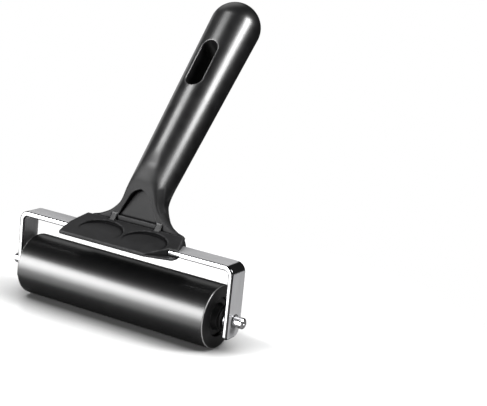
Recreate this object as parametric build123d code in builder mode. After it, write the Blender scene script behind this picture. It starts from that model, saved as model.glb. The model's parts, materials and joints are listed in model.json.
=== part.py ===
from build123d import *
import os
from math import sin, cos, tan, radians, sqrt

os.makedirs("parts", exist_ok=True)

# ---------------------------------------------------------------- dimensions (mm)
# X runs along the roller, Y from front to back, Z up along the frame arms.
# The origin is in the middle of the overall box, on the line the roller stands on.

roller_length = 100.0
roller_d = 28.0
rubber_wall = 5.5
core_od = roller_d - 2 * rubber_wall
core_id = 12.6
core_length = 96.0            # the core ends inside the rubber
plug_depth = 12.0             # how far each end plug reaches into the core
plug_flange_t = 0.8           # flange that covers the core's end
bush_od = 7.4
bush_flange_od = 9.6
bush_flange_t = 1.4

axle_d = 5.6
axle_end_d = 4.8              # the ends are turned down from the outer face of each arm
axle_stub = 4.75              # what stands out beyond each frame arm
running_clearance = 0.05      # radial, axle in bush

strip_t = 2.5
strip_w = 11.0
frame_half = 57.35            # outer face of an arm from the middle
frame_top = 24.72             # top of the cross bar above the axle
bend_r_out = 4.4
arm_below = 7.6               # arm end below the axle

washer_od = 9.4
washer_t = 0.8

lean = 40.17                  # handle leans back from the arms by this much
grip_root_z = 26.85           # where the handle axis meets the cross bar plane
grip_r0 = 9.40                # grip radius at the root
grip_taper = 0.0250           # radius gained per mm along the grip
dome_s = 113.5                # start of the domed end along the axis
dome_r = grip_r0 + grip_taper * dome_s

slot_len = 25.3
slot_w = 8.8
slot_mid_s = 84.7

shoe_half = 29.2
shoe_front = -12.6
shoe_bottom = 21.2
lip_top = 22.7
slope = 20.4                  # rise of the shoe's upper face towards the neck
shoe_back_top = 3.9

# ---------------------------------------------------------------- placing
dome_y = dome_s * sin(radians(lean))
dome_z = grip_root_z + dome_s * cos(radians(lean))
y_min = -roller_d / 2
y_max = dome_y + dome_r
AY = -(y_min + y_max) / 2     # axle centre in the finished part
AZ = roller_d / 2

def p2(y, z):
    return (y + AY, z + AZ)

axle_line = Axis((0, AY, AZ), (1, 0, 0))
ax_dir = Vector(0, sin(radians(lean)), cos(radians(lean)))
front_n = Vector(0, -cos(radians(lean)), sin(radians(lean)))
root = Vector(0, AY, AZ + grip_root_z)
grip_plane = Plane(origin=root, x_dir=(1, 0, 0), z_dir=front_n)      # local x = X, local y = along the grip
grip_axis = Axis(root, ax_dir)

def shoe_z(y):
    return lip_top + (y - shoe_front) * tan(radians(slope))

# ---------------------------------------------------------------- frame strip
with BuildPart() as frame_strip:
    with BuildSketch(Plane.XZ.offset(-AY)) as u_shape:
        with BuildLine() as u_outer:
            Polyline(
                (-frame_half, AZ - arm_below), (-frame_half, AZ + frame_top),
                (frame_half, AZ + frame_top), (frame_half, AZ - arm_below),
                (frame_half - strip_t, AZ - arm_below), (frame_half - strip_t, AZ + frame_top - strip_t),
                (-frame_half + strip_t, AZ + frame_top - strip_t), (-frame_half + strip_t, AZ - arm_below),
                close=True,
            )
        make_face()
        outer_corners = u_shape.vertices().group_by(Axis.Y)[-1]
        inner_corners = u_shape.vertices().group_by(Axis.Y)[-2]
        fillet(outer_corners, radius=bend_r_out)
        fillet(inner_corners, radius=bend_r_out - strip_t)
    extrude(amount=strip_w / 2, both=True)
    # rounded arm ends: nearly square at the front, well rounded at the back
    arm_edges = frame_strip.edges().filter_by(Axis.X).group_by(Axis.Z)[0]
    front_edges = arm_edges.group_by(Axis.Y)[0]
    back_edges = arm_edges.group_by(Axis.Y)[-1]
    fillet(front_edges, radius=1.6)
    back_again = frame_strip.edges().filter_by(Axis.X).group_by(Axis.Z)[0].group_by(Axis.Y)[-1]
    fillet(back_again, radius=4.6)
    # axle holes through both arms
    with BuildSketch(Plane.YZ.offset(-frame_half - 1)) as axle_hole:
        with Locations((AY, AZ)):
            Circle(axle_d / 2)
    extrude(amount=2 * frame_half + 2, mode=Mode.SUBTRACT)
    # two keying holes in the cross bar, filled by the handle moulding
    with BuildSketch(Plane.XY.offset(AZ + frame_top - strip_t - 1)) as key_holes:
        with Locations((-12, AY), (12, AY)):
            Circle(2.5)
    extrude(amount=strip_t + 2, mode=Mode.SUBTRACT)
    # softened edges along the outer faces of the strip
    long_edges = [e for e in frame_strip.edges()
                  if abs(abs(e.center().Y - AY) - strip_w / 2) < 0.01
                  and e.bounding_box().size.Y < 0.01 and e.length > 6]
    fillet(long_edges, radius=0.35)
frame_strip.part.label = "frame_strip"
export_step(frame_strip.part, "parts/frame_strip.step")

# ---------------------------------------------------------------- axle
axle_half = frame_half + axle_stub
with BuildPart() as axle:
    with BuildSketch(Plane.XY.offset(AZ)) as axle_half_profile:
        with BuildLine() as axle_outline:
            Polyline(
                (-axle_half, AY), (-axle_half, AY + axle_end_d / 2 - 0.5), (-axle_half + 0.5, AY + axle_end_d / 2),
                (-frame_half, AY + axle_end_d / 2), (-frame_half, AY + axle_d / 2),
                (frame_half, AY + axle_d / 2), (frame_half, AY + axle_end_d / 2),
                (axle_half - 0.5, AY + axle_end_d / 2), (axle_half, AY + axle_end_d / 2 - 0.5), (axle_half, AY),
                close=True,
            )
        make_face()
    revolve(axis=axle_line)
    # small centre marks in both ends
    with BuildSketch(Plane.YZ.offset(axle_half)) as mark_right:
        with Locations((AY, AZ)):
            Circle(0.7)
    extrude(amount=-0.9, mode=Mode.SUBTRACT)
    with BuildSketch(Plane.YZ.offset(-axle_half)) as mark_left:
        with Locations((AY, AZ)):
            Circle(0.7)
    extrude(amount=0.9, mode=Mode.SUBTRACT)
axle.part.label = "axle"
export_step(axle.part, "parts/axle.step")

# ---------------------------------------------------------------- roller
with BuildPart() as rubber_sleeve:
    with BuildSketch(Plane.YZ.offset(-roller_length / 2)) as rubber_ring:
        with Locations((AY, AZ)):
            Circle(roller_d / 2)
            Circle(core_od / 2, mode=Mode.SUBTRACT)
    extrude(amount=roller_length)
    rim_edges = rubber_sleeve.edges().filter_by(GeomType.CIRCLE).sort_by(SortBy.RADIUS)[-2:]
    fillet(rim_edges, radius=0.5)
rubber_sleeve.part.label = "rubber_sleeve"
export_step(rubber_sleeve.part, "parts/rubber_sleeve.step")

with BuildPart() as core_tube:
    with BuildSketch(Plane.YZ.offset(-core_length / 2)) as core_ring:
        with Locations((AY, AZ)):
            Circle(core_od / 2)
            Circle(core_id / 2, mode=Mode.SUBTRACT)
    extrude(amount=core_length)
core_tube.part.label = "core_tube"
export_step(core_tube.part, "parts/core_tube.step")

bush_in = core_length / 2 - plug_depth          # inner end of plug and bush
plug_face = core_length / 2                     # inner face of the plug flange
bush_flange_in = 51.6
bush_out = bush_flange_in + bush_flange_t
washer_in = frame_half - strip_t - washer_t

with BuildPart() as end_plug_right:
    with BuildSketch(Plane.XY.offset(AZ)) as plug_profile_right:
        with BuildLine() as plug_outline_right:
            Polyline(
                (bush_in, AY + bush_od / 2), (bush_in, AY + 5.3), (bush_in + 2.2, AY + 5.3),
                (bush_in + 2.2, AY + core_id / 2), (plug_face, AY + core_id / 2),
                (plug_face, AY + core_od / 2 - 0.3), (plug_face + plug_flange_t, AY + core_od / 2 - 0.3),
                (plug_face + plug_flange_t, AY + 5.9), (bush_flange_in, AY + 5.2), (bush_flange_in, AY + bush_od / 2),
                close=True,
            )
        make_face()
    revolve(axis=axle_line)
end_plug_right.part.label = "end_plug_right"
export_step(end_plug_right.part, "parts/end_plug_right.step")

with BuildPart() as end_plug_left:
    add(end_plug_right.part.mirror(Plane.YZ))
end_plug_left.part.label = "end_plug_left"
export_step(end_plug_left.part, "parts/end_plug_left.step")

with BuildPart() as bush_right:
    with BuildSketch(Plane.XY.offset(AZ)) as bush_profile_right:
        with BuildLine() as bush_outline_right:
            Polyline(
                (bush_in, AY + axle_d / 2 + running_clearance), (bush_in, AY + bush_od / 2),
                (bush_flange_in, AY + bush_od / 2), (bush_flange_in, AY + bush_flange_od / 2),
                (bush_out, AY + bush_flange_od / 2), (bush_out, AY + axle_d / 2 + running_clearance),
                close=True,
            )
        make_face()
    revolve(axis=axle_line)
bush_right.part.label = "bush_right"
export_step(bush_right.part, "parts/bush_right.step")

with BuildPart() as bush_left:
    add(bush_right.part.mirror(Plane.YZ))
bush_left.part.label = "bush_left"
export_step(bush_left.part, "parts/bush_left.step")

with BuildPart() as washer_right:
    with BuildSketch(Plane.YZ.offset(washer_in)) as washer_ring_right:
        with Locations((AY, AZ)):
            Circle(washer_od / 2)
            Circle(axle_d / 2, mode=Mode.SUBTRACT)
    extrude(amount=washer_t)
washer_right.part.label = "washer_right"
export_step(washer_right.part, "parts/washer_right.step")

with BuildPart() as washer_left:
    with BuildSketch(Plane.YZ.offset(-washer_in)) as washer_ring_left:
        with Locations((AY, AZ)):
            Circle(washer_od / 2)
            Circle(axle_d / 2, mode=Mode.SUBTRACT)
    extrude(amount=-washer_t)
washer_left.part.label = "washer_left"
export_step(washer_left.part, "parts/washer_left.step")

# ---------------------------------------------------------------- handle
# shoe: the low block moulded round the cross bar, its upper face rising to the neck
with BuildPart() as shoe:
    with BuildSketch(Plane.YZ) as shoe_side:
        with BuildLine() as shoe_side_outline:
            Polyline(
                p2(shoe_front, shoe_bottom), p2(shoe_front, lip_top), p2(shoe_back_top, shoe_z(shoe_back_top)),
                p2(6.6, 25.0), p2(8.0, shoe_bottom), close=True,
            )
        make_face()
    extrude(amount=shoe_half + 1, both=True)
    with BuildSketch(Plane.XY) as shoe_plan:
        with BuildLine() as shoe_plan_outline:
            Polyline(
                (-28.8, AY + shoe_front - 1), (-28.8, AY + shoe_front), (-shoe_half, AY - 8.4), (-29.0, AY - 4.6),
                (-27.8, AY - 0.5), (-26.0, AY + 4.2), (-25.8, AY + 9.0), (25.8, AY + 9.0), (26.0, AY + 4.2),
                (27.8, AY - 0.5), (shoe_half, AY - 5.0), (28.8, AY - 8.6), (17.2, AY + shoe_front - 0.1),
                (17.2, AY + shoe_front - 1), close=True,
            )
        make_face()
    extrude(amount=80, mode=Mode.INTERSECT)
    # the front right corner steps back above the bar's underside
    with BuildSketch(Plane.XY.offset(AZ + frame_top - strip_t)) as corner_step:
        with BuildLine() as corner_step_outline:
            Polyline(
                (17.2, AY + shoe_front - 2), (17.2, AY + shoe_front), (24.8, AY - 5.5), (31.0, AY - 5.0),
                (31.0, AY + shoe_front - 2), close=True,
            )
        make_face()
    extrude(amount=10, mode=Mode.SUBTRACT)

# web: the flared piece between shoe and grip
with BuildPart() as web:
    with BuildSketch(Plane.YZ) as web_side:
        with BuildLine() as web_side_outline:
            Polyline(
                p2(1.5, 23.4), p2(1.5, 46.5), p2(10.0, 46.5), p2(22.0, 46.5), p2(21.0, 43.2),
                p2(14.2, 36.0), p2(8.0, 30.2), p2(6.4, 26.5), p2(6.2, 23.4), close=True,
            )
        make_face()
    extrude(amount=40, both=True)
    with BuildSketch(Plane.XZ) as web_front:
        with BuildLine() as web_front_outline:
            right_side = Spline(
                (25.4, AZ + 28.2), (19.6, AZ + 29.8), (15.6, AZ + 32.0), (11.2, AZ + 36.0), (8.2, AZ + 40.0), (5.6, AZ + 46.0),
            )
            Line((5.6, AZ + 46.0), (-5.6, AZ + 46.0))
            left_side = Spline(
                (-5.6, AZ + 46.0), (-8.2, AZ + 40.0), (-11.2, AZ + 36.0), (-15.6, AZ + 32.0), (-19.6, AZ + 29.8), (-25.4, AZ + 28.2),
            )
            Line((-25.4, AZ + 28.2), (-25.4, AZ + 23.5))
            Line((-25.4, AZ + 23.5), (25.4, AZ + 23.5))
            Line((25.4, AZ + 23.5), (25.4, AZ + 28.2))
        make_face()
    extrude(amount=100, both=True, mode=Mode.INTERSECT)

# grip: tapered round bar with a domed end
with BuildPart() as grip:
    with BuildSketch(grip_plane) as grip_profile:
        with BuildLine() as grip_outline:
            Polyline((0, -6), (grip_r0 - 6 * grip_taper, -6), (dome_r, dome_s))
            ThreePointArc((dome_r, dome_s), (dome_r * cos(radians(45)), dome_s + dome_r * sin(radians(45))), (0, dome_s + dome_r))
            Line((0, dome_s + dome_r), (0, -6))
        make_face()
    revolve(axis=grip_axis)

# neck: grip and web together, cut back at the front and level with the shoe's underside
with BuildPart() as neck:
    add(grip.part)
    add(web.part)
    with BuildSketch(Plane.YZ) as neck_cut:
        with BuildLine() as neck_cut_outline:
            neck_curve = Spline(
                p2(5.0, 28.6), p2(6.3, 44.0), p2(11.6, 56.0),
                tangents=[(0.085, 1.0), (0.844, 1.0)],
            )
            Polyline(
                p2(11.6, 56.0), p2(-25.0, 62.0), p2(-25.0, 5.0), p2(40.0, 5.0), p2(40.0, shoe_bottom),
                p2(3.4, shoe_bottom), p2(5.0, 28.6),
            )
        make_face()
    extrude(amount=30, both=True, mode=Mode.SUBTRACT)

with BuildPart() as handle:
    add(shoe.part)
    add(neck.part)
    # sunk oval thumb rests in the sloping face, deepest towards the neck
    rest_tilt = 10.0
    rest_plane = Plane(
        origin=(0, AY - 5.0, AZ + 25.25),
        x_dir=(1, 0, 0),
        z_dir=(0, -sin(radians(rest_tilt)), cos(radians(rest_tilt))),
    )
    with BuildSketch(rest_plane) as thumb_rests:
        with Locations((-11.7, 0), (11.7, 0)):
            Ellipse(11.0, 7.5)
    extrude(amount=6, mode=Mode.SUBTRACT)
    # feet where the two neck ridges run out on the shoe
    with BuildSketch(Plane.YZ.offset(10.9)) as foot_right_side:
        with BuildLine() as foot_right_outline:
            Polyline(p2(2.9, 27.0), p2(2.9, 28.3), p2(5.2, 31.6), p2(7.0, 31.0), p2(7.0, 27.0), close=True)
        make_face()
    extrude(amount=2.6)
    with BuildSketch(Plane.YZ.offset(-10.9)) as foot_left_side:
        with BuildLine() as foot_left_outline:
            Polyline(p2(2.9, 27.0), p2(2.9, 28.3), p2(5.2, 31.6), p2(7.0, 31.0), p2(7.0, 27.0), close=True)
        make_face()
    extrude(amount=-2.6)
    # three-cornered pocket in the front of the neck
    pocket_plane = Plane(
        origin=(0, AY + 5.0, AZ + 28.6),
        x_dir=(1, 0, 0),
        z_dir=(0, -cos(radians(4.83)), sin(radians(4.83))),
    )
    with BuildSketch(pocket_plane) as neck_pocket:
        with BuildLine() as neck_pocket_outline:
            Polyline((-10.4, 2.2), (10.4, 2.2), (3.6, 15.6), (-3.6, 15.6), close=True)
        make_face()
        top_corners = neck_pocket.vertices().group_by(Axis.Y)[-1]
        low_corners = neck_pocket.vertices().group_by(Axis.Y)[0]
        fillet(top_corners, radius=3.4)
        fillet(low_corners, radius=0.7)
    extrude(amount=-2.4, mode=Mode.SUBTRACT)
    # hanging slot through the top of the grip
    with BuildSketch(grip_plane) as hang_slot:
        with Locations((0, slot_mid_s)):
            SlotOverall(slot_len, slot_w, rotation=90)
    extrude(amount=20, both=True, mode=Mode.SUBTRACT)
    slot_rims = [e for e in handle.edges()
                 if abs(e.center().X) < slot_w / 2 + 0.1 and e.bounding_box().size.X > 0.0
                 and (e.center() - root).dot(ax_dir) > slot_mid_s - slot_len / 2 - 1
                 and (e.center() - root).dot(ax_dir) < slot_mid_s + slot_len / 2 + 1
                 and abs((e.center() - root).dot(front_n)) > 5]
    chamfer(slot_rims, length=0.5)
    # the moulding closes round the bent strip and fills its keying holes
    add(frame_strip.part, mode=Mode.SUBTRACT)
handle.part.label = "handle"
export_step(handle.part, "parts/handle.step")
print("handle", round(handle.part.volume), len(handle.part.solids()), handle.part.is_valid)
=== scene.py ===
import json
import math

import bpy
import bmesh
import numpy as np
from mathutils import Matrix, Vector

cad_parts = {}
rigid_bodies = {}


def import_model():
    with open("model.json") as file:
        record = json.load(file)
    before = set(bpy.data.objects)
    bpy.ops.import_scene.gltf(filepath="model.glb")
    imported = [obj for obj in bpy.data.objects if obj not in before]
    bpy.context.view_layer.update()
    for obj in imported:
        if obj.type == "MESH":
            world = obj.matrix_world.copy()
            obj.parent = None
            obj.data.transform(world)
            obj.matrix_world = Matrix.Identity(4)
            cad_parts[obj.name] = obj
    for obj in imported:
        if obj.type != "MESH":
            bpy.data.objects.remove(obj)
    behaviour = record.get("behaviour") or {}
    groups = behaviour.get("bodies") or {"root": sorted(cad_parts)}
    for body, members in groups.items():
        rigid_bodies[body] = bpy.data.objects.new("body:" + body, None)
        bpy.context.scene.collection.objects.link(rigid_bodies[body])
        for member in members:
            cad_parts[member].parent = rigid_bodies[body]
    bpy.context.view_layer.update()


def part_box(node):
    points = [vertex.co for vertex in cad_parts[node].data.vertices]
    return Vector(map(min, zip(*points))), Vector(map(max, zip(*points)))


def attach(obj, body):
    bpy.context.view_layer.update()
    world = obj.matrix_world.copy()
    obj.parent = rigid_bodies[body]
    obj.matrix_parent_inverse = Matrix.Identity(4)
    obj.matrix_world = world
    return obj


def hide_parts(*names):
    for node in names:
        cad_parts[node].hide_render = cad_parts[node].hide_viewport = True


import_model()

# ------------------------------------------------------------------ places taken from the CAD frame (mm)
lo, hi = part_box("axle")
AY = (lo.y + hi.y) / 2 * 1000            # axle centre
AZ = (lo.z + hi.z) / 2 * 1000
AXLE_HALF = hi.x * 1000
lo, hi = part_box("frame_strip")
FRAME_HALF = hi.x * 1000
STRIP_W = (hi.y - lo.y) * 1000
FRAME_TOP = hi.z * 1000 - AZ
ARM_END = lo.z * 1000 - AZ
STRIP_T = 2.5
END_R = 2.4
lo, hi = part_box("axle")
MID_R = (hi.z - lo.z) * 500
lo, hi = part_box("rubber_sleeve")
ROLL_HALF = hi.x * 1000
ROLL_R = (hi.z - lo.z) * 500


def to_frame(points):
    """Millimetres from the axle centre to metres in the row frame."""
    p = np.asarray(points, float)
    return (p + np.array([0.0, AY, AZ])) / 1000.0


# ------------------------------------------------------------------ node helpers
def new_material(name):
    m = bpy.data.materials.new(name)
    m.use_nodes = True
    nt = m.node_tree
    nt.nodes.clear()
    out = nt.nodes.new("ShaderNodeOutputMaterial")
    b = nt.nodes.new("ShaderNodeBsdfPrincipled")
    nt.links.new(b.outputs["BSDF"], out.inputs["Surface"])
    return m, nt, b


def coords(nt, scale=(1, 1, 1), rotation=(0, 0, 0)):
    tc = nt.nodes.new("ShaderNodeTexCoord")
    mp = nt.nodes.new("ShaderNodeMapping")
    mp.inputs["Scale"].default_value = scale
    mp.inputs["Rotation"].default_value = rotation
    nt.links.new(tc.outputs["Object"], mp.inputs["Vector"])
    return mp.outputs["Vector"]


def noise(nt, vec, scale, detail=3.0, rough=0.55, distortion=0.0):
    n = nt.nodes.new("ShaderNodeTexNoise")
    n.inputs["Scale"].default_value = scale
    n.inputs["Detail"].default_value = detail
    n.inputs["Roughness"].default_value = rough
    n.inputs["Distortion"].default_value = distortion
    nt.links.new(vec, n.inputs["Vector"])
    return n.outputs["Fac"]


def remap(nt, value, a, b, c, d):
    r = nt.nodes.new("ShaderNodeMapRange")
    r.inputs["From Min"].default_value = a
    r.inputs["From Max"].default_value = b
    r.inputs["To Min"].default_value = c
    r.inputs["To Max"].default_value = d
    r.clamp = True
    nt.links.new(value, r.inputs["Value"])
    return r.outputs["Result"]


def math_node(nt, op, a, b):
    n = nt.nodes.new("ShaderNodeMath")
    n.operation = op
    for i, v in enumerate((a, b)):
        if isinstance(v, (int, float)):
            n.inputs[i].default_value = v
        else:
            nt.links.new(v, n.inputs[i])
    return n.outputs["Value"]


def mix_colour(nt, fac, a, b):
    n = nt.nodes.new("ShaderNodeMix")
    n.data_type = "RGBA"
    nt.links.new(fac, n.inputs[0])
    n.inputs[6].default_value = (*a, 1)
    n.inputs[7].default_value = (*b, 1)
    return n.outputs[2]


def bump(nt, height, strength, distance, normal=None):
    n = nt.nodes.new("ShaderNodeBump")
    n.inputs["Strength"].default_value = strength
    n.inputs["Distance"].default_value = distance
    nt.links.new(height, n.inputs["Height"])
    if normal is not None:
        nt.links.new(normal, n.inputs["Normal"])
    return n.outputs["Normal"]


def attribute(nt, name):
    n = nt.nodes.new("ShaderNodeAttribute")
    n.attribute_name = name
    return n.outputs["Fac"]


# ------------------------------------------------------------------ materials
def plastic_material(name, base, worn_and_lit, rough_lo, rough_hi, wear=True):
    m, nt, b = new_material(name)
    v = coords(nt)
    broad = noise(nt, v, 45, 4)
    fine = noise(nt, v, 1500, 2, 0.5)
    handled = noise(nt, v, 160, 5, 0.6)
    rough = remap(nt, broad, 0.32, 0.68, rough_lo, rough_hi)
    rough = math_node(nt, "ADD", rough, remap(nt, handled, 0.35, 0.7, -0.012, 0.02))
    col = remap(nt, handled, 0.3, 0.75, 0.0, 0.30)
    if wear:
        # edge wear and painted highlight: the rims get a lighter colour
        edge = math_node(nt, "MULTIPLY", attribute(nt, "edge"), remap(nt, noise(nt, v, 420, 4, 0.65), 0.36, 0.66, 0.25, 1.0))
        rough = math_node(nt, "ADD", rough, math_node(nt, "MULTIPLY", edge, 0.05))
        col = math_node(nt, "ADD", col, math_node(nt, "MULTIPLY", edge, 0.9))
    if wear:
        # the shoe and the neck front are finely textured, the grip is polished; the textured area is also given a
        # lighter colour, which is painted light
        matte = attribute(nt, "matte")
        rough = math_node(nt, "ADD", rough, math_node(nt, "MULTIPLY", matte, 0.27))
        gloss = math_node(nt, "SUBTRACT", 0.5, math_node(nt, "MULTIPLY", matte, 0.41))
        col = math_node(nt, "ADD", col, math_node(nt, "MULTIPLY", matte, 0.42))
        # painted shade: the creases and the upper thumb-rest walls get a darker colour and a weaker reflection
        crease_unshaded = math_node(nt, "SUBTRACT", 1.0, math_node(nt, "MULTIPLY", attribute(nt, "crease"), 0.85))
        col = math_node(nt, "MULTIPLY", col, crease_unshaded)
        gloss = math_node(nt, "MULTIPLY", gloss, crease_unshaded)
        nt.links.new(gloss, b.inputs["Specular IOR Level"])
    # the lighter colour stands for random colour variation and edge wear, and also for painted highlight on the rims
    # and painted light on the textured area
    skin = mix_colour(nt, col, base, worn_and_lit)
    if wear:
        # edge wear and painted highlight: the rims are mixed toward a light grey
        rubbed_and_highlit = nt.nodes.new("ShaderNodeMix")
        rubbed_and_highlit.data_type = "RGBA"
        rubbed_and_highlit.inputs[7].default_value = (0.060, 0.060, 0.061, 1)
        nt.links.new(math_node(nt, "MULTIPLY", edge, 0.42), rubbed_and_highlit.inputs[0])
        nt.links.new(skin, rubbed_and_highlit.inputs[6])
        skin = rubbed_and_highlit.outputs[2]
    nt.links.new(skin, b.inputs["Base Color"])
    nt.links.new(rough, b.inputs["Roughness"])
    nt.links.new(bump(nt, fine, 0.035, 0.00002), b.inputs["Normal"])
    b.inputs["IOR"].default_value = 1.58
    return m


def rubber_material(name):
    m, nt, b = new_material(name)
    v = coords(nt)
    along = coords(nt, (0.12, 1, 1))
    broad = noise(nt, along, 60, 3)
    grain = noise(nt, v, 2600, 2, 0.6)
    # painted highlight: a lighter line round the corner at each end of the roller
    split = nt.nodes.new("ShaderNodeSeparateXYZ")
    nt.links.new(v, split.inputs[0])
    end = remap(nt, math_node(nt, "ABSOLUTE", split.outputs["X"], 0.0), (ROLL_HALF - 0.45) / 1000, (ROLL_HALF - 0.20) / 1000, 0.0, 1.0)
    dy = math_node(nt, "SUBTRACT", split.outputs["Y"], AY / 1000)
    dz = math_node(nt, "SUBTRACT", split.outputs["Z"], AZ / 1000)
    rr = math_node(nt, "SQRT", math_node(nt, "ADD", math_node(nt, "MULTIPLY", dy, dy), math_node(nt, "MULTIPLY", dz, dz)), 0.0)
    outer = remap(nt, rr, (ROLL_R - 0.40) / 1000, (ROLL_R - 0.20) / 1000, 0.0, 1.0)
    end_highlight_mask = math_node(nt, "MULTIPLY", math_node(nt, "MULTIPLY", end, outer), remap(nt, noise(nt, v, 300, 3), 0.3, 0.6, 0.65, 1.0))
    skin = nt.nodes.new("ShaderNodeMix")
    skin.data_type = "RGBA"
    skin.inputs[7].default_value = (0.30, 0.30, 0.30, 1)
    nt.links.new(end_highlight_mask, skin.inputs[0])
    nt.links.new(skin.outputs[2], b.inputs["Base Color"])
    rings = noise(nt, coords(nt, (1, 0.03, 0.03)), 900, 2)
    rough = remap(nt, broad, 0.3, 0.7, 0.285, 0.325)
    rough = math_node(nt, "ADD", rough, remap(nt, rings, 0.3, 0.7, -0.010, 0.010))
    nt.links.new(rough, b.inputs["Roughness"])
    nt.links.new(mix_colour(nt, remap(nt, noise(nt, v, 240, 5), 0.35, 0.75, 0.0, 1.0), (0.0012, 0.0012, 0.0013), (0.0024, 0.0024, 0.0025)), skin.inputs[6])
    nt.links.new(bump(nt, grain, 0.06, 0.00002), b.inputs["Normal"])
    b.inputs["IOR"].default_value = 1.52
    return m


def steel_material(name, base, dull, rough_lo, rough_hi, stretch, wear=True, streak_scale=1500, brushed=0.0):
    """Bright steel with a faint drawn grain that runs along the stretched axes."""
    m, nt, b = new_material(name)
    v = coords(nt)
    streak = noise(nt, coords(nt, stretch), streak_scale, 3, 0.6)
    broad = noise(nt, v, 70, 4)
    scuff = noise(nt, coords(nt, (1, 1, 1), (0.4, 0.2, 0.7)), 380, 6, 0.7, 0.6)
    rough = remap(nt, streak, 0.3, 0.7, rough_lo, rough_hi)
    rough = math_node(nt, "ADD", rough, remap(nt, broad, 0.35, 0.7, -0.01, 0.03))
    rough = math_node(nt, "ADD", rough, remap(nt, scuff, 0.62, 0.72, 0.0, 0.05))
    if wear:
        edge = math_node(nt, "MULTIPLY", attribute(nt, "edge"), remap(nt, noise(nt, v, 600, 4, 0.65), 0.35, 0.65, 0.3, 1.0))
        rough = math_node(nt, "ADD", rough, math_node(nt, "MULTIPLY", edge, 0.05))
    if brushed:
        # the broad faces are brushed, the cut edges (facing along Y) stay bright
        sep = nt.nodes.new("ShaderNodeSeparateXYZ")
        geo = nt.nodes.new("ShaderNodeNewGeometry")
        nt.links.new(geo.outputs["Normal"], sep.inputs[0])
        level = remap(nt, math_node(nt, "ABSOLUTE", sep.outputs["Z"], 0.0), 0.95, 0.985, 0.0, 1.0)
        upright = remap(nt, math_node(nt, "ABSOLUTE", sep.outputs["X"], 0.0), 0.95, 0.985, 0.0, 1.0)
        flat = math_node(nt, "MAXIMUM", level, upright)
        rough = math_node(nt, "ADD", rough, math_node(nt, "MULTIPLY", flat, brushed))
        metal = math_node(nt, "SUBTRACT", 1.0, math_node(nt, "MULTIPLY", flat, 0.36))
    nt.links.new(rough, b.inputs["Roughness"])
    steel = mix_colour(nt, remap(nt, streak, 0.25, 0.75, 0.0, 1.0), base, dull)
    if brushed:
        # painted dark reflection: the rolled corners between the broad faces and the cut edges are darker
        ny = math_node(nt, "ABSOLUTE", sep.outputs["Y"], 0.0)
        roll = math_node(nt, "MULTIPLY", remap(nt, ny, 0.18, 0.35, 0.0, 0.92), remap(nt, ny, 0.80, 0.95, 1.0, 0.0))
        painted_corner_reflection = nt.nodes.new("ShaderNodeMix")
        painted_corner_reflection.data_type = "RGBA"
        painted_corner_reflection.inputs[7].default_value = (0.035, 0.035, 0.036, 1)
        nt.links.new(roll, painted_corner_reflection.inputs[0])
        nt.links.new(steel, painted_corner_reflection.inputs[6])
        steel = painted_corner_reflection.outputs[2]
    nt.links.new(steel, b.inputs["Base Color"])
    nt.links.new(bump(nt, streak, 0.10, 0.00001), b.inputs["Normal"])
    if brushed:
        nt.links.new(metal, b.inputs["Metallic"])
    else:
        b.inputs["Metallic"].default_value = 1.0
    return m


MAT = {
    "black_plastic": plastic_material("black_plastic", (0.0014, 0.0014, 0.0015), (0.0145, 0.0145, 0.015), 0.300, 0.345),
    "black_rubber": rubber_material("black_rubber"),
    "frame_steel": steel_material("frame_steel", (0.55, 0.55, 0.56), (0.44, 0.44, 0.45), 0.07, 0.12, (0.04, 1, 0.04), brushed=0.24),
    "axle_steel": steel_material("axle_steel", (0.58, 0.58, 0.59), (0.48, 0.48, 0.49), 0.10, 0.17, (1, 0.05, 0.05), wear=False, streak_scale=2200),
    "washer_steel": steel_material("washer_steel", (0.30, 0.30, 0.31), (0.24, 0.24, 0.25), 0.20, 0.30, (1, 0.2, 0.2), wear=False, streak_scale=900),
    "plug_plastic": plastic_material("plug_plastic", (0.0030, 0.0030, 0.0032), (0.007, 0.007, 0.0075), 0.42, 0.52, wear=False),
    "core_plastic": plastic_material("core_plastic", (0.010, 0.010, 0.0105), (0.018, 0.018, 0.0185), 0.45, 0.55, wear=False),
    "bush_plastic": plastic_material("bush_plastic", (0.012, 0.012, 0.012), (0.022, 0.022, 0.0215), 0.38, 0.48, wear=False),
}


def link_mesh(name, mesh, material, body, node):
    ob = bpy.data.objects.new(name, mesh)
    bpy.context.scene.collection.objects.link(ob)
    mesh.materials.clear()
    mesh.materials.append(material)
    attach(ob, body)
    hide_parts(node)
    return ob


def mesh_from(name, verts, faces, smooth=True):
    me = bpy.data.meshes.new(name)
    me.from_pydata([tuple(v) for v in verts], [], [tuple(int(i) for i in f) for f in faces])
    me.validate()
    bm = bmesh.new()
    bm.from_mesh(me)
    bmesh.ops.recalc_face_normals(bm, faces=bm.faces)
    bm.to_mesh(me)
    bm.free()
    if smooth:
        me.polygons.foreach_set("use_smooth", np.ones(len(me.polygons), bool))
    me.update()
    return me


# ------------------------------------------------------------------ lathe pieces
def rounded(points, radii, steps=6, closed=True):
    """Polyline with its corners rounded. radii gives one radius per corner."""
    out, n = [], len(points)
    for i in range(n):
        p = np.array(points[i], float)
        r = radii[i] if i < len(radii) else 0.0
        if r <= 0 or (not closed and i in (0, n - 1)):
            out.append(p)
            continue
        a, c = np.array(points[i - 1], float), np.array(points[(i + 1) % n], float)
        u, v = (a - p) / np.linalg.norm(a - p), (c - p) / np.linalg.norm(c - p)
        half = math.acos(max(-1, min(1, float(u @ v)))) / 2
        t = r / math.tan(half)
        w = (u + v) / np.linalg.norm(u + v)
        centre = p + w * (r / math.sin(half))
        a0, a1 = p + u * t - centre, p + v * t - centre
        ang0, ang1 = math.atan2(a0[1], a0[0]), math.atan2(a1[1], a1[0])
        d = (ang1 - ang0 + math.pi) % (2 * math.pi) - math.pi
        for k in range(steps + 1):
            g = ang0 + d * k / steps
            out.append(centre + r * np.array([math.cos(g), math.sin(g)]))
    return out


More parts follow.
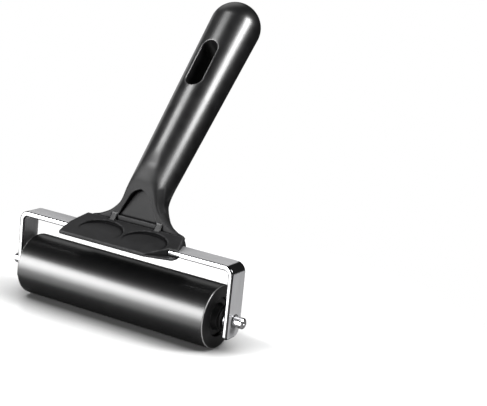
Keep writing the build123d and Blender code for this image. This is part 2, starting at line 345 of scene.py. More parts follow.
def lathe(name, profile, segments=160, closed=True, cuts=3.0):
    """Turns (x, radius) points about the axle line. Long runs are divided, so that the mesh stays even."""
    pts, n = [], len(profile)
    for i in range(n if closed else n - 1):
        a, c = np.array(profile[i], float), np.array(profile[(i + 1) % n], float)
        k = max(1, int(np.linalg.norm(c - a) / cuts))
        pts += [a + (c - a) * j / k for j in range(k)]
    if not closed:
        pts.append(np.array(profile[-1], float))
    verts, rings = [], []
    for x, r in pts:
        if r < 1e-6:
            rings.append([len(verts)])
            verts.append((x, 0.0, 0.0))
        else:
            rings.append(list(range(len(verts), len(verts) + segments)))
            for k in range(segments):
                g = 2 * math.pi * k / segments
                verts.append((x, r * math.cos(g), r * math.sin(g)))
    faces, m = [], len(rings)
    for i in range(m if closed else m - 1):
        a, c = rings[i], rings[(i + 1) % m]
        for k in range(segments):
            k2 = (k + 1) % segments
            if len(a) == 1 and len(c) == 1:
                continue
            if len(a) == 1:
                faces.append((a[0], c[k], c[k2]))
            elif len(c) == 1:
                faces.append((a[k], a[k2], c[0]))
            else:
                faces.append((a[k], a[k2], c[k2], c[k]))
    return mesh_from(name, to_frame(verts), faces)


def crisp(ob, angle=35):
    ob.data.set_sharp_from_angle(angle=math.radians(angle))
    mod = ob.modifiers.new("even_normals", "WEIGHTED_NORMAL")
    mod.keep_sharp = True
    mod.weight = 60


def bounds_of(node):
    a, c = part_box(node)
    return a.x * 1000, c.x * 1000, (c.z - a.z) * 500


# rubber sleeve: slightly eased rims, open bore
x0, x1, core_r = bounds_of("core_tube")
sleeve = rounded(
    [(-ROLL_HALF, core_r), (-ROLL_HALF, ROLL_R), (ROLL_HALF, ROLL_R), (ROLL_HALF, core_r)],
    [0.35, 0.55, 0.55, 0.35], 6,
)
ob = link_mesh("rubber_cover", lathe("rubber_cover", sleeve, 224, cuts=4.0), MAT["black_rubber"], "roller_body", "rubber_sleeve")
crisp(ob)

core = rounded([(x0, 6.3), (x0, core_r - 0.01), (x1, core_r - 0.01), (x1, 6.3)], [0.3, 0.3, 0.3, 0.3], 3)
ob = link_mesh("core", lathe("core", core, 96, cuts=6.0), MAT["core_plastic"], "roller_body", "core_tube")
crisp(ob)

for side, sign in (("right", 1), ("left", -1)):
    px0, px1, pr = bounds_of("end_plug_" + side)
    inner, outer = (px0, px1) if sign > 0 else (-px1, -px0)
    plug_face = x1
    plug = rounded(
        [
            (inner, 3.7), (inner, 5.3), (inner + 2.2, 5.3), (inner + 2.2, 6.29), (plug_face, 6.29),
            (plug_face, pr), (plug_face + 0.8, pr), (plug_face + 0.8, 5.9), (outer, 5.2), (outer, 3.7),
        ],
        [0, 0.2, 0.2, 0.2, 0, 0, 0.25, 0.35, 0.25, 0.15], 4,
    )
    ob = link_mesh("plug_" + side, lathe("plug_" + side, [(sign * x, r) for x, r in plug], 128), MAT["plug_plastic"], "roller_body", "end_plug_" + side)
    crisp(ob)
    bx0, bx1, br = bounds_of("bush_" + side)
    binner, bouter = (bx0, bx1) if sign > 0 else (-bx1, -bx0)
    bush = rounded(
        [(binner, MID_R + 0.05), (binner, 3.69), (bouter - 1.4, 3.69), (bouter - 1.4, br), (bouter, br), (bouter, MID_R + 0.05)],
        [0.15, 0.2, 0.05, 0.25, 0.35, 0.25], 4,
    )
    ob = link_mesh("bush_" + side + "_ring", lathe("bush_" + side + "_ring", [(sign * x, r) for x, r in bush], 128), MAT["bush_plastic"], "roller_body", "bush_" + side)
    crisp(ob)
    wx0, wx1, wr = bounds_of("washer_" + side)
    washer = rounded([(wx0, MID_R + 0.01), (wx0, wr), (wx1, wr), (wx1, MID_R + 0.01)], [0.1, 0.22, 0.22, 0.1], 4)
    ob = link_mesh("washer_" + side + "_ring", lathe("washer_" + side + "_ring", washer, 128), MAT["washer_steel"], "frame_body", "washer_" + side)
    crisp(ob)

# axle: a turned rod with eased ends and centre marks
half_axle = [
    (AXLE_HALF - 0.85, 0.0), (AXLE_HALF - 0.35, 0.62), (AXLE_HALF, 0.85), (AXLE_HALF, END_R - 0.48),
    (AXLE_HALF - 0.48, END_R), (FRAME_HALF - 0.05, END_R), (FRAME_HALF - 0.05, MID_R),
]
profile = rounded(half_axle + [(-x, r) for x, r in half_axle[::-1]], [0, 0.15, 0.12, 0.18, 0.18, 0, 0, 0, 0, 0.18, 0.18, 0.12, 0.15, 0], 4, closed=False)
ob = link_mesh("axle_rod", lathe("axle_rod", profile, 128, closed=False), MAT["axle_steel"], "frame_body", "axle")
crisp(ob, 30)


# ------------------------------------------------------------------ frame strip
def strip_mesh():
    """The bent steel strip: a rounded flat outline, bent into a U. Each ring is the outline drawn in by the edge rounding."""
    bend_mid = 4.4 - STRIP_T / 2
    half = FRAME_HALF - STRIP_T / 2
    top = FRAME_TOP - STRIP_T / 2
    arm = top - bend_mid - ARM_END                       # straight part of an arm
    arc = bend_mid * math.pi / 2
    bar = 2 * (half - bend_mid)
    total = 2 * arm + 2 * arc + bar
    hw = STRIP_W / 2
    rf, rb, re = 1.6, 4.6, 0.85                          # front and back end corners, edge rounding

    # stations along the strip, closer together in the bends
    us = []
    def run(a, c, n):
        us.extend(np.linspace(a, c, n, endpoint=False))
    run(rb, arm, 26)
    run(arm, arm + arc, 22)
    run(arm + arc, arm + arc + bar, 60)
    run(arm + arc + bar, arm + 2 * arc + bar, 22)
    run(arm + 2 * arc + bar, total - rb, 26)
    us.append(total - rb)
    us = np.array(us)

    def end_curve(n_front=10, n_flat=8, n_back=14):
        """Outline of one end, from the front side to the back side, as (u, v, normal u, normal v). u grows along the strip."""
        pts = []
        pts += [(rb - (rb - rf) * t, -hw, 0, -1) for t in np.linspace(0, 1, 5)[1:-1]]
        for g in np.linspace(0, math.pi / 2, n_front):
            pts.append((rf - rf * math.sin(g), -hw + rf - rf * math.cos(g), -math.sin(g), -math.cos(g)))
        for t in np.linspace(0, 1, n_flat)[1:-1]:
            pts.append((0, -hw + rf + (2 * hw - rf - rb) * t, -1, 0))
        for g in np.linspace(0, math.pi / 2, n_back)[:-1]:
            pts.append((rb - rb * math.cos(g), hw - rb + rb * math.sin(g), -math.cos(g), math.sin(g)))
        return pts

    e = end_curve()
    outline = [(u, -hw, 0, -1) for u in us[::-1]] + e + [(u, hw, 0, 1) for u in us] + [(total - u, v, -nu, nv) for u, v, nu, nv in e[::-1]]
    outline = np.array(outline, float)
    # order: front side from the far end to the near end, near end, back side, far end
    n_side, n_end = len(us), len(e)

    def bend(u, v, w):
        """Flat strip coordinates to the bent place. w is outwards."""
        if u < arm:
            return (-half - w, v, ARM_END + u)
        if u < arm + arc:
            g = (u - arm) / bend_mid
            c = (-half + bend_mid, top - bend_mid)
            r = bend_mid + w
            return (c[0] - r * math.cos(g), v, c[1] + r * math.sin(g))
        if u < arm + arc + bar:
            return (-half + bend_mid + u - arm - arc, v, top + w)
        if u < arm + 2 * arc + bar:
            g = (u - arm - arc - bar) / bend_mid
            c = (half - bend_mid, top - bend_mid)
            r = bend_mid + w
            return (c[0] + r * math.sin(g), v, c[1] + r * math.cos(g))
        return (half + w, v, ARM_END + total - u)

    rings = []
    steps = 6
    for k in range(steps + 1):
        g = math.pi / 2 * k / steps
        rings.append((STRIP_T / 2 - re + re * math.cos(g), re - re * math.sin(g)))
    rings += [(-w, i) for w, i in rings[::-1]]
    verts, faces, edge = [], [], []
    n = len(outline)
    for w, inset in rings:
        for u, v, nu, nv in outline:
            verts.append(bend(u - nu * inset, v - nv * inset, w))
            edge.append(1.0 if 0.02 < inset < re - 0.02 else 0.25)
    for k in range(len(rings) - 1):
        for i in range(n):
            j = (i + 1) % n
            faces.append((k * n + i, k * n + j, (k + 1) * n + j, (k + 1) * n + i))

    # flat faces: rows of points between the front side and the back side, closed by the end curves
    cols = n_end + 2                                     # front side point, end curve, back side point
    def cap(base, w, flip):
        grid = {}
        # for each station, the points across the strip
        for s in range(n_side):
            fi = base + (n_side - 1 - s)
            bi = base + n_side + n_end + s
            row = [fi]
            fu = outline[n_side - 1 - s]
            bu = outline[n_side + n_end + s]
            f = np.array([fu[0] - fu[2] * re, fu[1] - fu[3] * re])
            bb = np.array([bu[0] - bu[2] * re, bu[1] - bu[3] * re])
            for c in range(1, cols - 1):
                # same spacing across as the end curve has, so that the end closes with the same count
                t = c / (cols - 1)
                p = f + (bb - f) * t
                row.append(len(verts))
                verts.append(bend(p[0], p[1], w))
                edge.append(0.0)
            row.append(bi)
            grid[s] = row
        for s in range(n_side - 1):
            for c in range(cols - 1):
                q = (grid[s][c], grid[s + 1][c], grid[s + 1][c + 1], grid[s][c + 1])
                faces.append(q if flip else q[::-1])
        near = [base + n_side - 1] + [base + n_side + i for i in range(n_end)] + [base + n_side + n_end]
        far_start = base + n_side + n_end + n_side
        far = [base] + [far_start + n_end - 1 - i for i in range(n_end)] + [base + n_side + n_end + n_side - 1]
        for c in range(cols - 1):
            q = (near[c], grid[0][c], grid[0][c + 1], near[c + 1])
            if len(set(q)) < 4:
                q = tuple(dict.fromkeys(q))
            if len(q) >= 3:
                faces.append(q if flip else q[::-1])
            q = (grid[n_side - 1][c], far[c], far[c + 1], grid[n_side - 1][c + 1])
            if len(set(q)) < 4:
                q = tuple(dict.fromkeys(q))
            if len(q) >= 3:
                faces.append(q if flip else q[::-1])
    cap(0, STRIP_T / 2, True)
    cap((len(rings) - 1) * n, -STRIP_T / 2, False)
    me = mesh_from("strip", to_frame(verts), faces)
    a = me.attributes.new("edge", "FLOAT", "POINT")
    a.data.foreach_set("value", np.array(edge, np.float32)[: len(me.vertices)])
    return me


strip = link_mesh("strip", strip_mesh(), MAT["frame_steel"], "frame_body", "frame_strip")
# a through hole with a small countersink round each axle end
cutter_mesh = lathe("hole_cutter", [
    (FRAME_HALF + 3, 0.0), (FRAME_HALF + 3, MID_R + 0.32), (FRAME_HALF + 0.05, MID_R + 0.32), (FRAME_HALF - 0.22, MID_R + 0.02), (-FRAME_HALF + 0.22, MID_R + 0.02),
    (-FRAME_HALF - 0.05, MID_R + 0.32), (-FRAME_HALF - 3, MID_R + 0.32), (-FRAME_HALF - 3, 0.0),
], 96, closed=False, cuts=200)
cutter = bpy.data.objects.new("hole_cutter", cutter_mesh)
bpy.context.scene.collection.objects.link(cutter)
mod = strip.modifiers.new("holes", "BOOLEAN")
mod.operation = "DIFFERENCE"
mod.solver = "EXACT"
mod.object = cutter
bpy.context.view_layer.update()
dg = bpy.context.evaluated_depsgraph_get()
done = bpy.data.meshes.new_from_object(strip.evaluated_get(dg))
strip.modifiers.clear()
strip.data = done
strip.data.name = "strip_mesh"
strip.data.materials.clear()
strip.data.materials.append(MAT["frame_steel"])
bpy.data.objects.remove(cutter)
strip.data.polygons.foreach_set("use_smooth", np.ones(len(strip.data.polygons), bool))
crisp(strip, 32)


# ------------------------------------------------------------------ handle, as one smooth closed moulding
LEAN = math.radians(40.17)
ROOT = np.array([0.0, 0.0, 26.85])
AX = np.array([0.0, math.sin(LEAN), math.cos(LEAN)])
FN = np.array([0.0, -math.cos(LEAN), math.sin(LEAN)])
R0, TAPER, DOME_S = 9.40, 0.0250, 113.5
DOME_R = R0 + TAPER * DOME_S
SLOPE = math.radians(20.4)


def smax(a, b, k):
    h = np.maximum(k - np.abs(a - b), 0.0) / k
    return np.maximum(a, b) + h * h * k * 0.25


def smin(a, b, k):
    return -smax(-a, -b, k)


def poly_dist(px, py, verts):
    """Signed distance to a closed polygon, negative inside."""
    v = np.asarray(verts, float)
    d = np.full(px.shape, 1e18)
    inside = np.zeros(px.shape, bool)
    n = len(v)
    for i in range(n):
        a, c = v[i], v[(i + 1) % n]
        ex, ey = c - a
        wx, wy = px - a[0], py - a[1]
        t = np.clip((wx * ex + wy * ey) / (ex * ex + ey * ey), 0, 1)
        dx, dy = wx - ex * t, wy - ey * t
        d = np.minimum(d, dx * dx + dy * dy)
        if a[1] != c[1]:
            cross = (a[1] > py) != (c[1] > py)
            xc = a[0] + (py - a[1]) * ex / ey
            inside ^= cross & (px < xc)
    return np.sqrt(d) * np.where(inside, -1.0, 1.0)


def smooth_table(points, step=0.1):
    """Dense table through the points with a monotone cubic."""
    p = np.asarray(points, float)
    x, y = p[:, 0], p[:, 1]
    h, s = np.diff(x), np.diff(y) / np.diff(x)
    m = np.zeros(len(x))
    m[0], m[-1] = s[0], s[-1]
    for i in range(1, len(x) - 1):
        if s[i - 1] * s[i] > 0:
            w1, w2 = 2 * h[i] + h[i - 1], h[i] + 2 * h[i - 1]
            m[i] = (w1 + w2) / (w1 / s[i - 1] + w2 / s[i])
    xs = np.arange(x[0], x[-1] + step / 2, step)
    k = np.clip(np.searchsorted(x, xs) - 1, 0, len(x) - 2)
    t = (xs - x[k]) / h[k]
    ys = ((2 * t**3 - 3 * t**2 + 1) * y[k] + (t**3 - 2 * t**2 + t) * h[k] * m[k]
          + (-2 * t**3 + 3 * t**2) * y[k + 1] + (t**3 - t**2) * h[k] * m[k + 1])
    return xs, ys, np.gradient(ys, xs)


WING = smooth_table([(20, 25.4), (27.6, 25.4), (28.4, 24.4), (29.2, 21.4), (30.2, 19.0), (32, 15.6), (34, 13.1), (36, 11.2), (38, 9.6), (40, 8.2), (43, 6.8), (46, 5.6), (52, 3.5)])
NECK = smooth_table([(18, 2.9), (21.2, 3.5), (24, 4.1), (28.6, 5.0), (33, 5.35), (38, 5.7), (42, 6.05), (45, 6.5), (48, 7.25), (51, 8.45), (54, 10.0), (56.5, 11.8), (59, 13.2), (63, 15.0), (70, 18.5), (90, 29.0), (130, 50.0)])

SHOE_SIDE = [(-12.6, 21.2), (-12.6, 22.7), (3.9, 22.7 + 16.5 * math.tan(SLOPE)), (6.6, 25.0), (8.0, 21.2)]
SHOE_PLAN = [(-28.8, -12.7), (-29.2, -8.4), (-29.0, -4.6), (-27.8, -0.5), (-26.0, 4.2), (-25.8, 9.2), (25.8, 9.2), (26.0, 4.2), (27.8, -0.5), (29.2, -5.0), (28.8, -8.6), (17.2, -12.7)]
CORNER = [(17.2, -14.6), (17.2, -12.6), (24.8, -5.5), (32.0, -5.0), (32.0, -14.6)]
WEB_SIDE = [(1.5, 23.4), (1.5, 46.5), (22.0, 46.5), (21.0, 43.2), (17.4, 39.4), (14.2, 36.2), (11.0, 32.9), (8.0, 30.2), (6.4, 26.5), (6.2, 23.4)]
FOOT = [(2.7, 27.0), (2.7, 28.2), (5.2, 31.6), (7.0, 31.0), (7.0, 27.0)]
c_r, s_r = math.cos(math.radians(10)), math.sin(math.radians(10))
c_p, s_p = math.cos(math.radians(4.83)), math.sin(math.radians(4.83))


def handle_sdf(p):
    """Signed distance (mm, from the axle centre) of the moulded handle, negative inside."""
    x, y, z = p[:, 0], p[:, 1], p[:, 2]
    ax = np.abs(x)
    # grip: tapered bar with a round end
    s = (p - ROOT) @ AX
    q = p - ROOT - np.outer(s, AX)
    rad = np.sqrt((q * q).sum(1))
    cone = (rad - (R0 + TAPER * s)) * 0.9997
    ball = np.sqrt(rad * rad + (s - DOME_S) ** 2) - DOME_R
    grip = np.where(s < DOME_S, cone, ball)
    # web: flared wings between grip and shoe
    w = np.interp(z, WING[0], WING[1])
    wd = np.interp(z, WING[0], WING[2])
    side = (ax - w) / np.sqrt(1 + wd * wd)
    web = smax(poly_dist(y, z, WEB_SIDE), side, 1.2)
    neck = smin(grip, web, 1.6)
    # front of the neck: nearly upright, then running into the grip
    nf = np.interp(z, NECK[0], NECK[1])
    nd = np.interp(z, NECK[0], NECK[2])
    neck = smax(neck, (nf - y) / np.sqrt(1 + nd * nd), 1.3)
    neck = np.maximum(neck, 21.3 - z)
    # shoe round the cross bar
    shoe = smax(poly_dist(y, z, SHOE_SIDE), poly_dist(x, y, SHOE_PLAN), 0.45)
    corner = np.maximum(FRAME_TOP - STRIP_T - z, poly_dist(x, y, CORNER))
    shoe = smax(shoe, -corner, 0.15)
    # thumb rests: level ovals sunk in the slope
    v = (y + 5.0) * c_r + (z - 25.25) * s_r
    h = -(y + 5.0) * s_r + (z - 25.25) * c_r
    u = ax - 11.7
    f = np.sqrt((u / 11.0) ** 2 + (v / 7.6) ** 2) + 1e-9
    g = np.sqrt((u / 121.0) ** 2 + (v / 57.76) ** 2) + 1e-9
    oval = f * (f - 1) / g
    shoe = smax(shoe, -smax(oval, -h, 0.5), 0.3)
    body = smin(shoe, neck, 1.0)
    # feet where the ridges run out on the shoe
    foot = smax(poly_dist(y, z, FOOT), np.abs(ax - 12.1) - 1.45, 0.6)
    body = smin(body, foot, 0.5)
    # three-cornered pocket
    pv = (y - 5.0) * s_p + (z - 28.6) * c_p
    pw = -(y - 5.0) * c_p + (z - 28.6) * s_p
    ex, ey = 13.4 / 15.026, 6.8 / 15.026                 # outward normal of the slanting sides
    slant = (ax - 10.4) * ex + (pv - 2.2) * ey
    tri = smax(slant, pv - 15.9, 4.6)
    tri = smax(tri, 2.2 - pv, 0.7)
    depth = -(pw + 1.05 + 0.165 * (pv - 2.2)) * 0.986
    body = smax(body, -smax(tri, depth, 0.7), 0.45)
    # hanging slot
    ds = np.maximum(np.abs(s - 84.7) - 8.25, 0)
    slot = np.sqrt(x * x + ds * ds) - 4.2
    body = np.where(s > 60, smax(body, -slot, 0.5), body)
    return body


def handle_mesh(h):
    lo3 = np.array([-30.66, -14.27, 20.31])
    hi3 = np.array([30.6, 87.0, 127.3])
    blk = 8
    nb = np.ceil((hi3 - lo3) / (h * blk)).astype(int)
    n = nb * blk + 1
    # coarse look at the block centres
    ax_ = [lo3[i] + (np.arange(nb[i]) + 0.5) * h * blk for i in range(3)]
    C = np.stack(np.meshgrid(*ax_, indexing="ij"), -1).reshape(-1, 3)
    dc = handle_sdf(C)
    reach = h * blk * math.sqrt(3) / 2 * 1.35 + 0.8
    active = np.abs(dc) < reach
    D = np.repeat(np.repeat(np.repeat(np.where(dc > 0, 9.0, -9.0).reshape(nb), blk, 0), blk, 1), blk, 2).astype(np.float32)
    D = np.pad(D, ((0, 1), (0, 1), (0, 1)), mode="edge")
    idx = np.argwhere(active.reshape(nb))
    off = np.stack(np.meshgrid(*[np.arange(blk + 1)] * 3, indexing="ij"), -1).reshape(-1, 3)
    for a in range(0, len(idx), 1500):
        g = (idx[a:a + 1500, None, :] * blk + off[None]).reshape(-1, 3)
        D[g[:, 0], g[:, 1], g[:, 2]] = handle_sdf(lo3 + g * h)
    D[np.abs(D) < 1e-5] = 1e-5
    inside = D < 0
    c = inside[:-1, :-1, :-1].astype(np.int8)
    count = np.zeros_like(c)
    corners = [(i, j, k) for i in (0, 1) for j in (0, 1) for k in (0, 1)]
    for i, j, k in corners:
        count += inside[i:n[0] - 1 + i, j:n[1] - 1 + j, k:n[2] - 1 + k]
    cells = np.argwhere((count > 0) & (count < 8))
    val = np.stack([D[cells[:, 0] + i, cells[:, 1] + j, cells[:, 2] + k] for i, j, k in corners], 1).astype(float)
    acc, cnt = np.zeros((len(cells), 3)), np.zeros(len(cells))
    for a in range(8):
        for b in range(a + 1, 8):
            ca, cb = np.array(corners[a]), np.array(corners[b])
            if np.abs(ca - cb).sum() != 1:
                continue
            m = (val[:, a] < 0) != (val[:, b] < 0)
            t = val[m, a] / (val[m, a] - val[m, b])
            acc[m] += ca + (cb - ca) * t[:, None]
            cnt[m] += 1
    P = lo3 + (cells + acc / cnt[:, None]) * h
    index = np.full(tuple(n - 1), -1, np.int32)
    index[cells[:, 0], cells[:, 1], cells[:, 2]] = np.arange(len(cells))
    quads = []
    for axis in range(3):
        sl0 = [slice(1, -1)] * 3
        sl1 = [slice(1, -1)] * 3
        sl0[axis], sl1[axis] = slice(0, -1), slice(1, None)
        a, b = inside[tuple(sl0)], inside[tuple(sl1)]
        e = np.argwhere(a != b)
        flip = a[e[:, 0], e[:, 1], e[:, 2]]
        base = e.copy()
        for k in range(3):
            if k != axis:
                base[:, k] += 1
        o1, o2 = [k for k in range(3) if k != axis]
        def at(d1, d2):
            q = base.copy()
            q[:, o1] += d1
            q[:, o2] += d2
            return index[q[:, 0], q[:, 1], q[:, 2]]
        q = np.stack([at(-1, -1), at(0, -1), at(0, 0), at(-1, 0)], 1)
        if axis == 1:
            flip = ~flip
        q[~flip] = q[~flip][:, ::-1]
        quads.append(q)
    quads = np.concatenate(quads)

    def grad(p, eps):
        g = np.zeros_like(p)
        total = np.zeros(len(p))
        for k in range(3):
            d = np.zeros(3)
            d[k] = eps
            a, b = handle_sdf(p + d), handle_sdf(p - d)
            g[:, k] = (a - b) / (2 * eps)
            total += a + b
        return g, total

    for _ in range(2):
        d = handle_sdf(P)
        g, _t = grad(P, 0.05)
        step = d[:, None] * g / np.maximum((g * g).sum(1), 0.2)[:, None]
        ln = np.linalg.norm(step, axis=1)
        step *= np.minimum(1, 0.45 * h / np.maximum(ln, 1e-9))[:, None]
        P = P - step
    g, _t = grad(P, 0.12)
    N = g / np.maximum(np.linalg.norm(g, axis=1), 1e-9)[:, None]
    _g, tot = grad(P, 0.5)
    curve = (tot - 6 * handle_sdf(P)) / 0.25
    # convex rims, used for edge wear and for a painted highlight
    edge = np.clip((curve - 0.5) / 1.6, 0, 1)
    me = bpy.data.meshes.new("handle_moulding")
    pts = to_frame(P)
    me.vertices.add(len(pts))
    me.vertices.foreach_set("co", pts.astype(np.float32).ravel())
    me.loops.add(len(quads) * 4)
    me.loops.foreach_set("vertex_index", quads.astype(np.int32).ravel())
    me.polygons.add(len(quads))
    me.polygons.foreach_set("loop_start", np.arange(0, len(quads) * 4, 4, dtype=np.int32))
    me.polygons.foreach_set("use_smooth", np.ones(len(quads), bool))
    me.update(calc_edges=True)
    at_ = me.attributes.new("edge", "FLOAT", "POINT")
    at_.data.foreach_set("value", edge.astype(np.float32))
    px, py, pz = P[:, 0], P[:, 1], P[:, 2]
    # the textured area: rougher and less glossy, and given a lighter colour as painted light
    near = np.clip(1.4 - (py - np.interp(pz, NECK[0], NECK[1])) / 2.2, 0, 1)
    high = np.clip((57.0 - pz) / 9.0, 0, 1)
    low = np.clip((31.5 - pz) / 3.0, 0, 1)
    gap = py - np.interp(pz, NECK[0], NECK[1])
    well = np.clip((5.5 - gap) / 1.5, 0, 1) * np.clip((47.0 - pz) / 1.5, 0, 1) * (np.abs(px) < 11.5)
    matte = np.maximum(np.maximum(near * high, low), well)
    feet = (np.abs(np.abs(px) - 12.1) < 1.5) & (pz > 28.4) & (pz < 31.8) & (py < 6.0)
    matte = np.where(feet, 0.45, matte)
    # painted shade in the creases and along the upper walls of the thumb rests
    crease = np.clip((-curve - 0.25) / 0.9, 0, 1)
    ov = (py + 5.0) * c_r + (pz - 25.25) * s_r
    ou = np.abs(px) - 11.7
    of_ = np.sqrt((ou / 11.0) ** 2 + (ov / 7.6) ** 2) + 1e-9
    oval = of_ * (of_ - 1) / (np.sqrt((ou / 121.0) ** 2 + (ov / 57.76) ** 2) + 1e-9)
    wall = np.clip((0.65 - np.abs(oval + 0.15)) / 0.25, 0, 1) * np.clip((ov + 3.5) / 4.0, 0, 1) * (pz < 29.5)
    crease = np.maximum(crease, wall)
    ac_ = me.attributes.new("crease", "FLOAT", "POINT")
    ac_.data.foreach_set("value", crease.astype(np.float32))
    am_ = me.attributes.new("matte", "FLOAT", "POINT")
    am_.data.foreach_set("value", matte.astype(np.float32))
    # the faces look outwards: compare with the distance field's own direction
    nrm = np.zeros(len(me.polygons) * 3, np.float32)
    me.polygons.foreach_get("normal", nrm)
    nrm = nrm.reshape(-1, 3)
    if (nrm * N[quads[:, 0]]).sum() < 0:
        me.flip_normals()
    me.normals_split_custom_set_from_vertices([tuple(v) for v in N])
    me.update()
    return me


handle = link_mesh("handle_moulding", handle_mesh(0.42), MAT["black_plastic"], "frame_body", "handle")

# ------------------------------------------------------------------ floor, light, camera
def stage_mesh(name, verts, faces):
    me = bpy.data.meshes.new(name)
    me.from_pydata(verts, [], faces)
    ob = bpy.data.objects.new(name, me)
    bpy.context.scene.collection.objects.link(ob)
    return ob


S = 4.0
floor = stage_mesh("floor", [(-S, -S, 0), (S, -S, 0), (S, S, 0), (-S, S, 0)], [(0, 1, 2, 3)])
m, nt, b = new_material("floor")
ao = nt.nodes.new("ShaderNodeAmbientOcclusion")
ao.inputs["Distance"].default_value = 0.055
ao.samples = 16
shade_mix = nt.nodes.new("ShaderNodeMix")
shade_mix.data_type = "RGBA"
shade_mix.inputs[6].default_value = (0.10, 0.10, 0.10, 1)
nt.links.new(remap(nt, ao.outputs["AO"], 0.30, 0.97, 0.0, 1.0), shade_mix.inputs[0])
nt.links.new(shade_mix.outputs[2], b.inputs["Base Color"])
nt.links.new(mix_colour(nt, remap(nt, noise(nt, coords(nt), 3, 2), 0.3, 0.7, 0, 1), (0.84, 0.84, 0.84), (0.86, 0.86, 0.86)), shade_mix.inputs[7])
nt.links.new(remap(nt, noise(nt, coords(nt), 8, 2), 0.3, 0.7, 0.30, 0.34), b.inputs["Roughness"])
b.inputs["IOR"].default_value = 1.3
out = [n for n in nt.nodes if n.type == "OUTPUT_MATERIAL"][0]
geo = nt.nodes.new("ShaderNodeNewGeometry")
clear = nt.nodes.new("ShaderNodeBsdfTransparent")
mixs = nt.nodes.new("ShaderNodeMixShader")
dist = nt.nodes.new("ShaderNodeVectorMath")
dist.operation = "DISTANCE"
nt.links.new(coords(nt), dist.inputs[0])
dist.inputs[1].default_value = (0.0, AY / 1000, 0.0)
fade = nt.nodes.new("ShaderNodeMapRange")
fade.interpolation_type = "SMOOTHSTEP"
fade.inputs["From Min"].default_value = 0.085
fade.inputs["From Max"].default_value = 0.18
nt.links.new(dist.outputs["Value"], fade.inputs["Value"])
lpf = nt.nodes.new("ShaderNodeLightPath")
unseen = math_node(nt, "MULTIPLY", math_node(nt, "SUBTRACT", 1.0, lpf.outputs["Is Camera Ray"]), 0.80)
gone = math_node(nt, "MAXIMUM", geo.outputs["Backfacing"], fade.outputs["Result"])
nt.links.new(math_node(nt, "MAXIMUM", gone, unseen), mixs.inputs[0])
nt.links.new(b.outputs["BSDF"], mixs.inputs[1])
nt.links.new(clear.outputs["BSDF"], mixs.inputs[2])
nt.links.new(mixs.outputs["Shader"], out.inputs["Surface"])
floor.data.materials.append(m)


def softbox(name, place, aim, width, height, radiance, side=None):
    data = bpy.data.lights.new(name, "AREA")
    data.shape = "RECTANGLE"
    data.size, data.size_y = width, height
    data.energy = radiance * math.pi * width * height
    ob = bpy.data.objects.new(name, data)
    bpy.context.scene.collection.objects.link(ob)
    ob.location = place
    d = Vector(aim) - Vector(place)
    ob.rotation_mode = "QUATERNION"
    z = -d.normalized()
    x = Vector(side) if side else Vector((0, 0, 1)).cross(z)
    x = (x - z * x.dot(z)).normalized()
    y = z.cross(x)
    ob.rotation_quaternion = Matrix((x, y, z)).transposed().to_quaternion()
    return ob


centre = Vector((0.0, AY / 1000, AZ / 1000))
# front-left panels, whose reflections are the broad band along the roller
front = Vector((-0.541, -0.81, 0.0)).normalized() * 0.88
softbox("panel_front", centre + front + Vector((0, 0, 0.235)), centre, 0.70, 0.35, 25)
softbox("panel_low", centre + front + Vector((0, 0, -0.03)), centre, 0.70, 0.20, 15)
softbox("panel_under", centre + front + Vector((0, 0, -0.33)), centre, 0.62, 0.42, 3.2)
# high panel, the left band on the grip
grip_mid = Vector((0.0, 0.0056, 0.0898))
top = softbox("panel_top", grip_mid + Vector((-0.375, -0.43, 0.825)) * 0.95, grip_mid, 0.42, 0.08, 50, side=(0.92, -0.30, 0.25))
# flagged off the roller, as a card beside the panel would do
lit = bpy.data.collections.new("lit_from_above")
for ob in bpy.context.scene.objects:
    if ob.type == "MESH" and ob.name != "rubber_cover":
        lit.objects.link(ob)
top.light_linking.receiver_collection = lit
# right-hand panel, the bright band on the grip
softbox("panel_right", grip_mid + Vector((0.82, 0.14, 0.563)) * 0.95, grip_mid, 0.34, 0.37, 44, side=(0.30, 0.73, -0.61))
# narrow right-front panel, the thin line round the roller's end
softbox("panel_rim", centre + Vector((0.84, -0.54, 0.10)) * 0.9, centre, 0.10, 0.40, 9)

world = bpy.data.worlds.new("studio")
bpy.context.scene.world = world
world.use_nodes = True
nt = world.node_tree
nt.nodes.clear()
wout = nt.nodes.new("ShaderNodeOutputWorld")
tc = nt.nodes.new("ShaderNodeTexCoord")


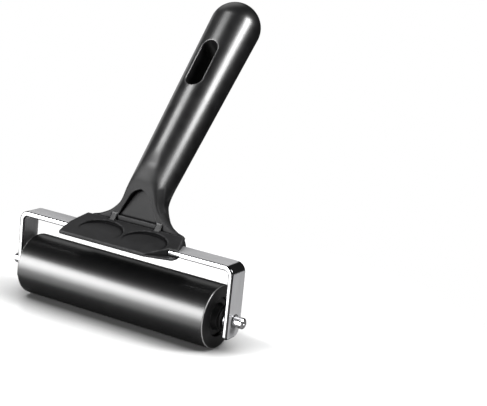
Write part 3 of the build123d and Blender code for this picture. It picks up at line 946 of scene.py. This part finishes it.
def lobe(direction, a, b, level):
    """Soft patch of light round a direction: level inside, fading to nothing."""
    d = Vector(direction).normalized()
    dot = nt.nodes.new("ShaderNodeVectorMath")
    dot.operation = "DOT_PRODUCT"
    nt.links.new(tc.outputs["Generated"], dot.inputs[0])
    dot.inputs[1].default_value = d
    r = nt.nodes.new("ShaderNodeMapRange")
    r.interpolation_type = "SMOOTHSTEP"
    r.inputs["From Min"].default_value = math.cos(math.radians(b))
    r.inputs["From Max"].default_value = math.cos(math.radians(a))
    r.inputs["To Min"].default_value = 0
    r.inputs["To Max"].default_value = level
    nt.links.new(dot.outputs["Value"], r.inputs["Value"])
    return r.outputs["Result"]


total = math_node(nt, "ADD", lobe((-0.541, 0.50, 0.66), 8, 30, 0.9), 0.02)
total = math_node(nt, "ADD", total, lobe((-0.90, 0.43, -0.03), 6, 20, 1.3))
fill = nt.nodes.new("ShaderNodeBackground")
nt.links.new(total, fill.inputs["Strength"])
fill.inputs["Color"].default_value = (1, 1, 1, 1)
seen = nt.nodes.new("ShaderNodeBackground")
seen.inputs["Color"].default_value = (1, 1, 1, 1)
seen.inputs["Strength"].default_value = 1.0
lp = nt.nodes.new("ShaderNodeLightPath")
mx = nt.nodes.new("ShaderNodeMixShader")
nt.links.new(lp.outputs["Is Camera Ray"], mx.inputs[0])
nt.links.new(fill.outputs["Background"], mx.inputs[1])
nt.links.new(seen.outputs["Background"], mx.inputs[2])
nt.links.new(mx.outputs["Shader"], wout.inputs["Surface"])

cam_data = bpy.data.cameras.new("camera")
cam_data.sensor_width = 36.0
cam_data.lens = 87.83
cam_data.clip_start, cam_data.clip_end = 0.01, 20
cam = bpy.data.objects.new("camera", cam_data)
bpy.context.scene.collection.objects.link(cam)
right = Vector((0.85581049, 0.50679046, 0.10369106))
up = Vector((-0.20611345, 0.15022433, 0.96692807))
back = Vector((0.474453, -0.84887931, 0.23301989))
m4 = Matrix.Identity(4)
for i in range(3):
    m4[i][0], m4[i][1], m4[i][2] = right[i], up[i], back[i]
place = (0.287505, -0.450637, 0.178982)
for i in range(3):
    m4[i][3] = place[i]
cam.matrix_world = m4
bpy.context.scene.camera = cam
bpy.context.scene.view_settings.view_transform = "Standard"
